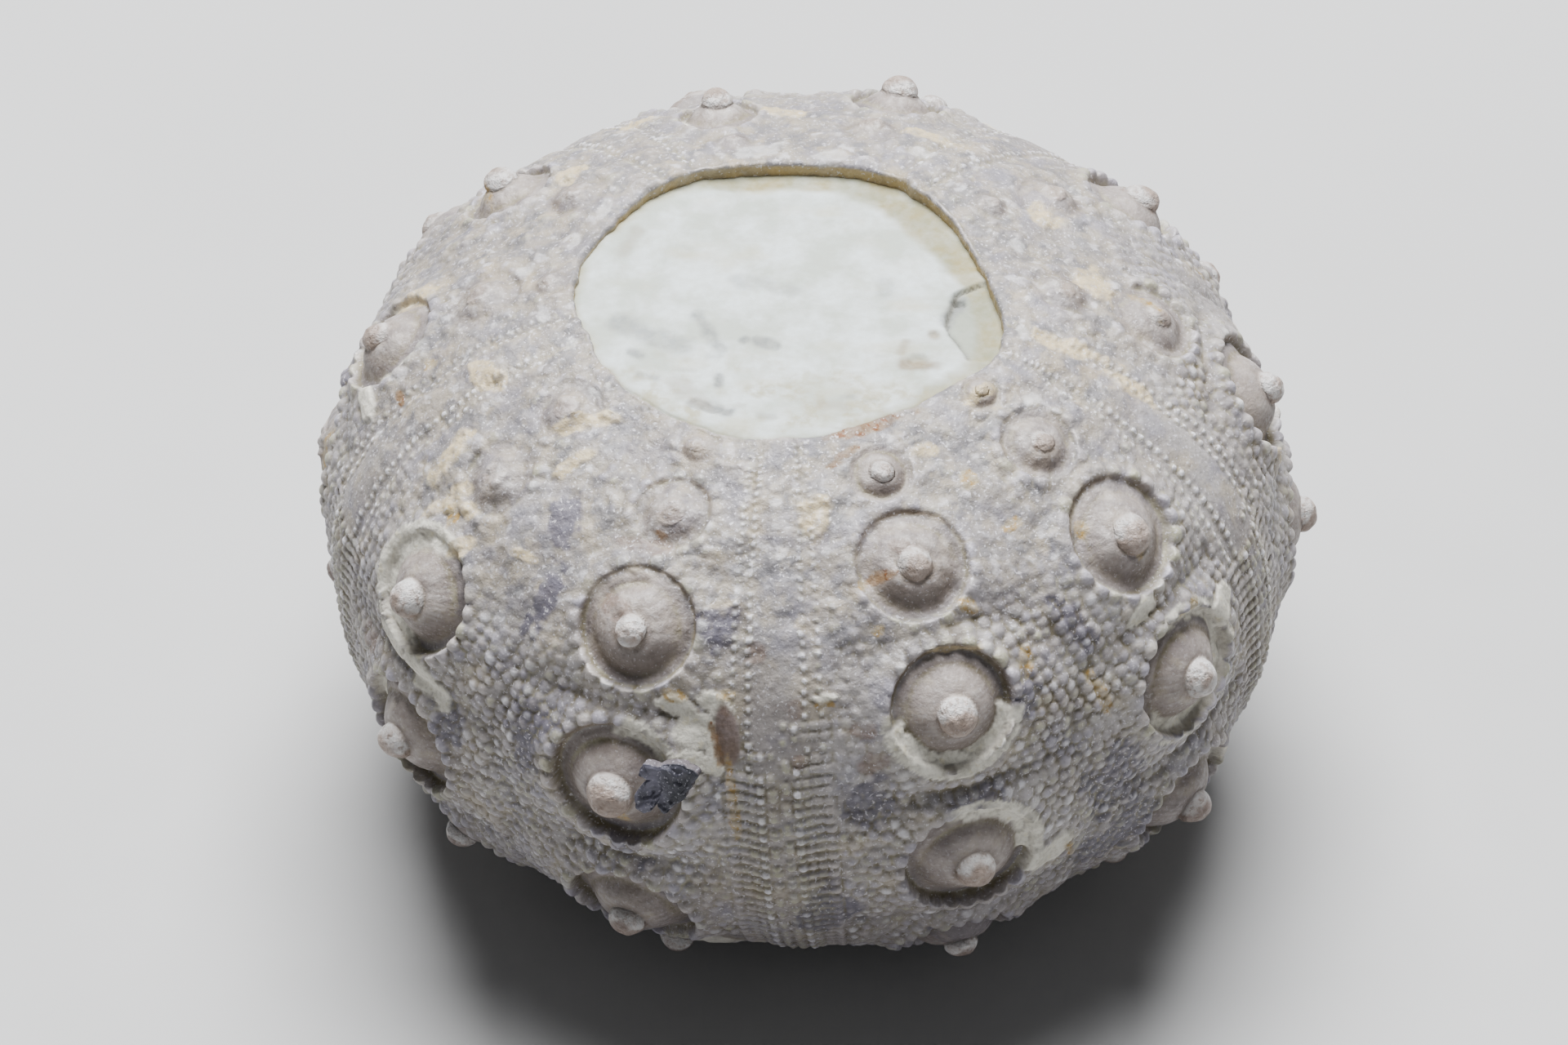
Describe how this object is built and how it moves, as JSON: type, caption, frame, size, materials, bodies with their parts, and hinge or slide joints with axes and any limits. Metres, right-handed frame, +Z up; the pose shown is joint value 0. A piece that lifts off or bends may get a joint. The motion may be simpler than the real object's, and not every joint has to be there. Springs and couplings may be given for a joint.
{
  "type": "fossil sea urchin",
  "caption": "Fossil regular sea urchin: a domed stony test with rows of ringed knobs, pentagonal top opening and pale hardened sediment inside.",
  "frame": {"origin": "centre of the flat sediment foot under the mouth, on the surface it rests on", "axes": "+Z up the urchin's axis from the mouth to the apical opening; -Y towards the ambulacrum at the front"},
  "size_m": [0.0485, 0.0469, 0.0308],
  "materials": {
    "fossil_calcite": "matt granular calcite with a faint crystalline glint",
    "chalky_sediment": "matt chalky stone",
    "slate": "matt slate"
  },
  "bodies": {
    "root": {"test": "fossil_calcite", "sediment_fill": "chalky_sediment", "slate_chip": "slate"}
  },
  "joints": []
}
